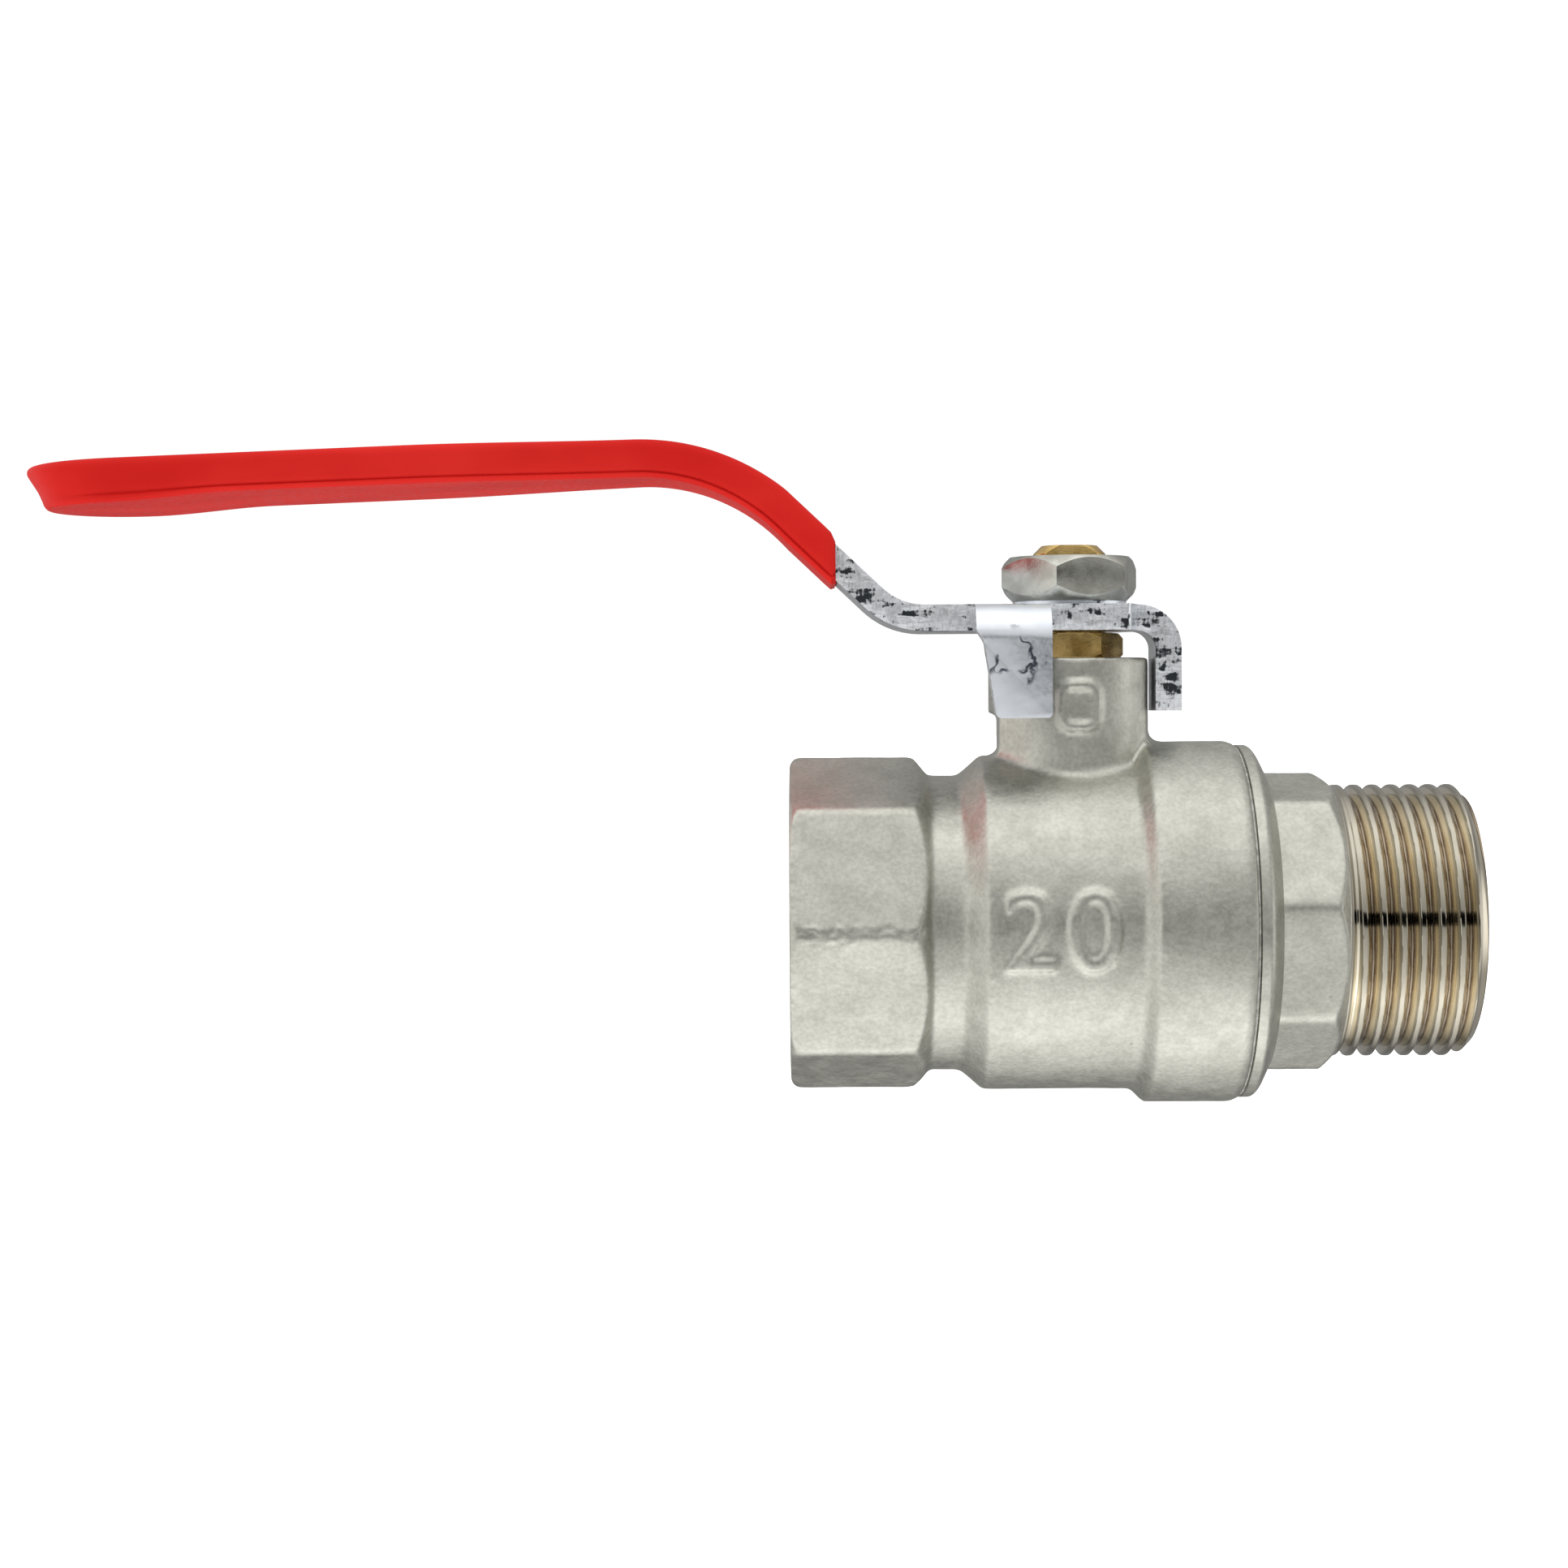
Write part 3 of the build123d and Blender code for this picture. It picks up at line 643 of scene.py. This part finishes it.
def join(body, parts):
    """Adds overlapping parts to the body's mesh, as triangles, and removes them."""
    joined = bmesh.new()
    for part in [body] + parts:
        joined.from_mesh(part.data)
    for part in parts:
        bpy.data.objects.remove(part)
    bmesh.ops.triangulate(joined, faces=joined.faces)
    joined.to_mesh(body.data)
    joined.free()


def soften(body):
    """Rebuilds the body as one skin with every edge softened."""
    remesh = body.modifiers.new("remesh", "REMESH")
    remesh.mode = "VOXEL"
    remesh.voxel_size = BODY_VOXEL * MM
    smooth = body.modifiers.new("smooth", "SMOOTH")
    smooth.factor = 0.5
    smooth.iterations = 3
    with_modifiers(body)


def mark(body):
    """Grows the marks out of the body, and sets its shrunk face at the joint back in place."""
    normals = [vertex.normal.copy() for vertex in body.data.vertices]
    for vertex, normal in zip(body.data.vertices, normals):
        place = vertex.co / MM
        if hypot(place.y, place.z) > MARKED_FROM_R and normal.x > -0.9:
            vertex.co += normal * forging_marks(place) * MM
        vertex.co.x += SHRINKAGE * MM * between(place.x, SHRUNK_FROM, SHRUNK_TO)
    body.data.update()


def forged_body():
    """Body forging with its marks grown out of it and every edge softened."""
    body = copied("valve_body", "body_forging")
    join(body, [blank_frame(), size_number()])
    soften(body)
    mark(body)
    triangles = sum(len(face.vertices) - 2 for face in body.data.polygons)
    if triangles > BODY_TRIANGLES:
        thin = body.modifiers.new("thin", "DECIMATE")
        thin.ratio = BODY_TRIANGLES / triangles
        with_modifiers(body)
    shade(body, sharp_angle=60)
    return body


# The grip

def grip_middle(x):
    """Height of the strip's middle at a place along the lever, and the cosine of its slope."""
    rise = (LOWER_BEND.y - UPPER_BEND.y) / (LOWER_BEND.x - UPPER_BEND.x)
    riser_up = Vector((-rise, 1)).normalized()
    paddle_up = Vector((-PADDLE_DROP, 1)).normalized()
    centre = UPPER_BEND - (riser_up + paddle_up) * (BEND_R / (1 + riser_up.dot(paddle_up)))
    if x > centre.x + riser_up.x * BEND_R:
        return LOWER_BEND.y + rise * (x - LOWER_BEND.x), riser_up.y
    if x < centre.x + paddle_up.x * BEND_R:
        return UPPER_BEND.y + PADDLE_DROP * (x - UPPER_BEND.x), paddle_up.y
    height = sqrt(BEND_R ** 2 - (x - centre.x) ** 2)
    return centre.y + height, height / BEND_R


def grip_half_width(x):
    """Half width of the dipped grip in plan, before its round tip."""
    flare = between(-x, -FLARE_START, -FLARE_END)
    return SKIN + STRIP_HALF_WIDTH + (PADDLE_HALF_WIDTH - STRIP_HALF_WIDTH) * flare


def grip_outline():
    """Stations round one side of the plan, from the mouth to the tip: x, y and inward direction."""
    radius = PADDLE_HALF_WIDTH + SKIN
    tip_centre = GRIP_TIP + radius
    stations = []
    for x in [GRIP_MOUTH] + steps(GRIP_MOUTH - FIRST_STATION, tip_centre, STATION_SPACING):
        stations.append((x, grip_half_width(x), Vector((0, -1))))
    for i in range(1, TIP_STEPS + 1):
        turn = pi / 2 * i / TIP_STEPS
        inward = Vector((sin(turn), -cos(turn)))
        stations.append((tip_centre - radius * sin(turn), radius * cos(turn), inward))
    return stations


def grip_profile(tip):
    """Half of the skin's section from top to underside: distance in and height.

    Towards the tip, where tip is 1, the crease fades and the lower edge gets sharper.
    """
    half = STEEL_HALF + SKIN
    top_width, top_drop = TOP_ROUNDING
    under_width, under_drop = UNDER_ROUNDING
    under_width *= 1 - NOSE_SHARPNESS * tip
    crease = -half + under_drop
    points = [(FLAT_TO, half), (FLAT_FROM, half)]
    for i in range(ROUNDING_STEPS + 1):
        turn = pi / 2 * i / ROUNDING_STEPS
        points.append((top_width * (1 - sin(turn)), half - top_drop * (1 - cos(turn))))
    for place in SIDE_PLACES:
        points.append((0.0, (half - top_drop) * (1 - place) + crease * place))
    points.append((CREASE_DEPTH * (1 - tip), crease - CREASE_HALF_HEIGHT))
    below_crease = crease - 2 * CREASE_HALF_HEIGHT
    for i in range(1, ROUNDING_STEPS + 1):
        turn = pi / 2 * i / ROUNDING_STEPS
        height = below_crease - (half + below_crease) * sin(turn)
        points.append((under_width * (1 - cos(turn)), height))
    return points + [(FLAT_FROM, -half), (FLAT_TO, -half)]


def grip_spot(station, side, distance, height):
    """Place of one point of the skin: how far in from the outline and how high over the middle."""
    x, y, inward = station
    near_tip = between(-x, -DRIP_START, -DRIP_END)
    drip = DRIP_DEPTH * near_tip * between(-height, DRIP_FROM_HEIGHT, DRIP_TO_HEIGHT)
    slant = NOSE_SLANT * (1 - height / (STEEL_HALF + SKIN)) / 2 * inward.x
    spot_x = x + inward.x * distance + slant
    spot_y = (y + inward.y * distance) * side
    middle, steep = grip_middle(spot_x)
    return (STEM_X + spot_x, spot_y, middle + (height - drip) / steep)


def outer_section(x, inward):
    """Section of the outside, drawn in over the last of its length at the mouth."""
    swell = sqrt(1 - (1 - min((GRIP_MOUTH - x) / MOUTH_ROUNDING, 1)) ** 2)
    thin = (SKIN - MOUTH_WALL) * (1 - swell)
    section = grip_profile(inward.x)
    return [(distance + thin, height - thin * (1 if height > 0 else -1)) for distance, height in section]


def pocket_section(x, inward):
    """Section of the pocket for the steel, the same everywhere."""
    wall, half = SKIN - POCKET_GAP, STEEL_HALF + POCKET_GAP
    return [(FLAT_TO + SKIN, half), (wall, half), (wall, -half), (FLAT_TO + SKIN, -half)]


def shell(vertices, section_at):
    """Back and front rows of a shell's points along the outline, and its faces.

    The two sides are joined across the top, across the underside and in the row at the tip.
    """

    def row(station, side):
        """Points of the section at a station, added to the vertices."""
        x, _, inward = station
        section = section_at(x, inward)
        first = len(vertices)
        vertices.extend(grip_spot(station, side, distance, height) for distance, height in section)
        return list(range(first, len(vertices)))

    outline = grip_outline()
    tip = row(outline[-1], 1)
    back, front = [[row(station, side) for station in outline[:-1]] + [tip] for side in (1, -1)]
    faces = []
    for here, after in zip(back, back[1:]):
        faces += [(a, d, c, b) for a, b, c, d in zip(here, here[1:], after[1:], after)]
    for here, after in zip(front, front[1:]):
        faces += [(a, b, c, d) for a, b, c, d in zip(here, here[1:], after[1:], after)]
    for one, other, one_after, other_after in zip(back, front, back[1:], front[1:]):
        for point in (0, -1):
            corners = [one[point], one_after[point], other_after[point], other[point]]
            corners = list(dict.fromkeys(corners))
            faces.append(tuple(corners if point == 0 else corners[::-1]))
    return back, front, faces


def mouth_rim(outer, inner):
    """Faces between one side of the outside and of the pocket, at the mouth."""
    share = [round(i * (len(inner) - 1) / (len(outer) - 1)) for i in range(len(outer))]
    faces = []
    for i in range(len(outer) - 1):
        corners = [outer[i], outer[i + 1], inner[share[i + 1]], inner[share[i]]]
        faces.append(tuple(dict.fromkeys(corners)))
    return faces


def grip():
    """Vinyl skin dipped over the lever: outside, rounded mouth and the pocket for the steel."""
    vertices = []
    back, front, faces = shell(vertices, outer_section)
    pocket_back, pocket_front, lining = shell(vertices, pocket_section)
    faces += [face[::-1] for face in lining]
    faces += mouth_rim(back[0], pocket_back[0])
    faces += mouth_rim(front[0], pocket_front[0])
    for point in (0, -1):
        faces.append((back[0][point], front[0][point], pocket_front[0][point], pocket_back[0][point]))
    return mesh_object("vinyl_grip", vertices, faces)


# Lever, nut and stem

def shorten_in_grip(plate):
    """Draws the lever's hidden end in, to leave room for the slanted nose of the grip."""
    from_x, cad_tip = STEM_X + STEEL_SHORTENED_FROM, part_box("lever")[0].x / MM
    share = (STEM_X + STEEL_TIP - from_x) / (cad_tip - from_x)
    for vertex in plate.data.vertices:
        x = vertex.co.x / MM
        if x < from_x:
            vertex.co.x = (from_x + (x - from_x) * share) * MM


def is_cut_edge(face):
    """True for a face of the lever on the sheared edge of the sheet."""
    if face.center.y < -FRONT_LUG_Y * MM:
        return abs(face.normal.x) > 0.5 or face.normal.z < -0.85
    return abs(face.normal.y) > 0.45


def turned_part(node, name, width):
    """Copy of a turned CAD node with rounded arrises."""
    made = copied(node, name)
    beveled(made, width)
    return made


# Studio

def camera():
    """Camera close in front of the valve, at the angle of the photo."""
    data = bpy.data.cameras.new("camera")
    data.lens = CAMERA_LENS
    data.sensor_width = CAMERA_SENSOR
    data.clip_start = 0.01
    data.clip_end = 20
    made = bpy.data.objects.new("camera", data)
    made.location = Vector(CAMERA_PLACE) * MM
    made.rotation_euler = [radians(turn) for turn in CAMERA_TURN]
    bpy.context.scene.collection.objects.link(made)
    bpy.context.scene.camera = made


# Light round the pipe axis: degrees above the front, and brightness. The gap a little above the
# front makes the dark line across the outlet thread.
BAND = [
    (-180, 0.30), (-135, 0.22), (-112, 0.92), (-90, 1.65), (-68, 2.15), (-45, 1.32), (-25, 0.96),
    (-12, 0.78), (-2, 0.6), (-1.2, 0.0), (9.8, 0.0), (10.6, 0.58), (20, 0.72), (45, 1.18),
    (62, 1.6), (85, 1.68), (105, 1.2), (135, 0.5), (180, 0.30),
]

# Light from the inlet's side, from the outlet's side and straight along the pipe
LEFT_SIDE, RIGHT_SIDE, END_LIGHT = 1.2, 0.42, 1.4
BRIGHTEST, WHITE_BACKDROP = 2.4, 1.05

FLOOR_SIZE, FLOOR_GAP, FLOOR_GLOW = 3000, 0.1, 0.9
FLOOR_CORNERS = [(-1, -1), (1, -1), (1, 1), (-1, 1)]


def environment():
    """Soft studio light by direction, seen by everything but the camera, which sees white."""
    world = bpy.data.worlds.new("studio")
    bpy.context.scene.world = world
    world.use_nodes = True
    tree = world.node_tree
    tree.nodes.clear()
    toward = add(tree, "SeparateXYZ", {0: add(tree, "TexCoord").outputs["Generated"]}).outputs
    angle = math(tree, "ARCTAN2", toward[2], math(tree, "MULTIPLY", toward[1], -1.0))
    turn = add(tree, "MapRange", {"Value": angle, "From Min": -pi, "From Max": pi}).outputs[0]
    band = ramp(tree, turn, [((a + 180) / 360, value / BRIGHTEST) for a, value in BAND], "LINEAR")
    across = add(tree, "MapRange", {"Value": toward[0], "From Min": -1.0, "From Max": 1.0}).outputs[0]
    stops = [(0.0, LEFT_SIDE), (0.15, LEFT_SIDE), (0.8, RIGHT_SIDE), (0.94, RIGHT_SIDE), (1.0, END_LIGHT)]
    side = ramp(tree, across, [(place, value / BRIGHTEST) for place, value in stops])
    share = ramp(tree, across, [(0.0, 1.0), (0.32, 0.0), (0.68, 0.0), (1.0, 1.0)])
    light = blend(tree, share, band, side)
    studio = add(tree, "Background", {"Color": light, "Strength": BRIGHTEST}).outputs[0]
    white = add(tree, "Background", {"Color": (1, 1, 1, 1), "Strength": WHITE_BACKDROP}).outputs[0]
    seen = add(tree, "LightPath").outputs["Is Camera Ray"]
    shown = add(tree, "MixShader", {0: seen, 1: studio, 2: white}).outputs[0]
    add(tree, "OutputWorld", {"Surface": shown})


def pale_floor():
    """Matt floor just under the valve. It only shows to the camera, so the light comes from the world."""
    z = cad_box[0].z / MM - FLOOR_GAP
    corners = [(across * FLOOR_SIZE, along * FLOOR_SIZE, z) for across, along in FLOOR_CORNERS]
    made = mesh_object("floor", corners, [(0, 1, 2, 3)])
    material, tree, shader = principled("floor", roughness=0.9, emission_strength=FLOOR_GLOW)
    shader.inputs["Emission Color"].default_value = (1, 1, 1, 1)
    colour = ramp(tree, grain(tree, 0.02, 2.0), [(0.3, 0.80), (0.7, 0.82)])
    connect(tree, shader, base_color=colour)
    made.data.materials.append(material)
    made.visible_glossy = False
    made.visible_diffuse = False


# The scene

camera()
environment()
pale_floor()
bpy.context.scene.view_settings.view_transform = "Standard"

forged, machined = forged_nickel(), machined_nickel()
steel, cut_steel = plated_steel(), sheared_steel()
plain_brass = brass()
vinyl = red_vinyl()
nut_metal = nut_plate()
SLOT_MATERIALS = {
    "nickel_plate": forged,
    "bare_brass": plain_brass,
    "plated_steel": steel,
    "nut_plate": nut_metal,
    "red_vinyl": vinyl,
    "ptfe": even_material("ptfe", (0.72, 0.72, 0.70), (0.82, 0.82, 0.80), 0.4, 0.45),
    "chrome_ball": even_material("chrome_ball", (0.62, 0.63, 0.64), (0.70, 0.71, 0.72), 0.3, 0.07, 1.0),
    "black_rubber": even_material("black_rubber", (0.012, 0.012, 0.012), (0.03, 0.03, 0.03), 1.5, 0.55),
    "joint_compound": even_material("joint_compound", (0.26, 0.25, 0.23), (0.62, 0.61, 0.57), 1.2, 0.5),
}
for entry in frame["record"]["subparts"]:
    data = frame["nodes"][entry["node"]].data
    data.materials.clear()
    data.materials.append(SLOT_MATERIALS[entry["material_slot"]])

tail = tail_piece()
shade(tail, sharp_angle=38)
stands_for(tail, "tail_piece", "housing", "nickel_plate", forged, machined)
for face in tail.data.polygons:
    face.material_index = 1 if is_machined(face) else 0

lining = inlet_thread()
shade(lining, sharp_angle=38)
stands_for(lining, None, "housing", "nickel_plate", machined)

stands_for(forged_body(), "valve_body", "housing", "nickel_plate", forged)

sleeve = grip()
shade(sleeve, sharp_angle=50)
stands_for(sleeve, "grip_sleeve", "handle", "red_vinyl", vinyl)

plate = copied("lever", "lever_plate")
shorten_in_grip(plate)
beveled(plate, width=0.22)
stands_for(plate, "lever", "handle", "plated_steel", steel, cut_steel)
for face in plate.data.polygons:
    face.material_index = 1 if is_cut_edge(face) else 0

lever_nut = turned_part("lever_nut", "lever_nut_hexagon", width=0.3)
stands_for(lever_nut, "lever_nut", "handle", "nut_plate", nut_metal)

gland_nut = turned_part("gland_nut", "gland_nut_hexagon", width=0.15)
stands_for(gland_nut, "gland_nut", "housing", "bare_brass", plain_brass)

stem = turned_part("stem", "stem_turned", width=0.12)
stands_for(stem, "stem", "handle", "bare_brass", plain_brass)
